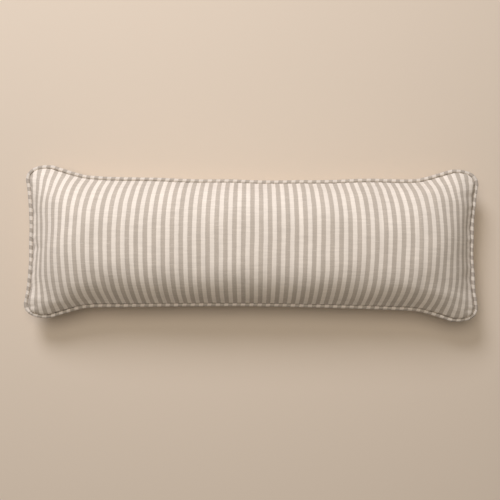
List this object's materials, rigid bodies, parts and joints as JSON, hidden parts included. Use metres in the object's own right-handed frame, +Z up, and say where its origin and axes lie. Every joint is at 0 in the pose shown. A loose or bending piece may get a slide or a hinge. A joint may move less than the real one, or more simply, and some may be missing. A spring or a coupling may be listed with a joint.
{
  "type": "throw pillow",
  "caption": "Long lumbar throw pillow with a ticking-striped cover, self-fabric welt all round, hidden long-side zipper and a soft insert.",
  "frame": {"origin": "middle of the flat patch under the back panel, which the pillow rests on", "axes": "+X along the length, +Y across the width away from the zipper, +Z up out of the striped front face"},
  "size_m": [0.9044, 0.3, 0.14],
  "materials": {
    "striped_cloth": "matte",
    "insert_cloth": "matte",
    "fibre": "matte",
    "zipper_tape": "matte",
    "zipper_nylon": "satin",
    "zipper_metal": "satin",
    "label_satin": "satin"
  },
  "bodies": {
    "cushion": {"front_panel": "striped_cloth", "back_panel": "striped_cloth", "welt_cover": "striped_cloth", "welt_cord": "fibre", "zipper_tape_upper": "zipper_tape", "zipper_tape_lower": "zipper_tape", "zipper_coil_upper": "zipper_nylon", "zipper_coil_lower": "zipper_nylon", "zipper_top_stop_upper": "zipper_metal", "zipper_top_stop_lower": "zipper_metal", "zipper_bottom_stop": "zipper_metal", "care_label": "label_satin", "insert_casing_front": "insert_cloth", "insert_casing_back": "insert_cloth", "insert_fill": "fibre"},
    "slider": {"zipper_slider": "zipper_metal"},
    "pull_tab": {"zipper_pull": "zipper_metal"}
  },
  "joints": [
    {"name": "zipper_slide", "type": "slide", "parent": "cushion", "child": "slider", "axis": [-1, 0, 0], "range_m": [0, 0.376]},
    {"name": "pull_hinge", "type": "hinge", "parent": "slider", "child": "pull_tab", "pos_m": [0.1928, -0.11661, 0.05391], "axis": [0, -0.4275, 0.904], "range_deg": [0, 175]}
  ]
}
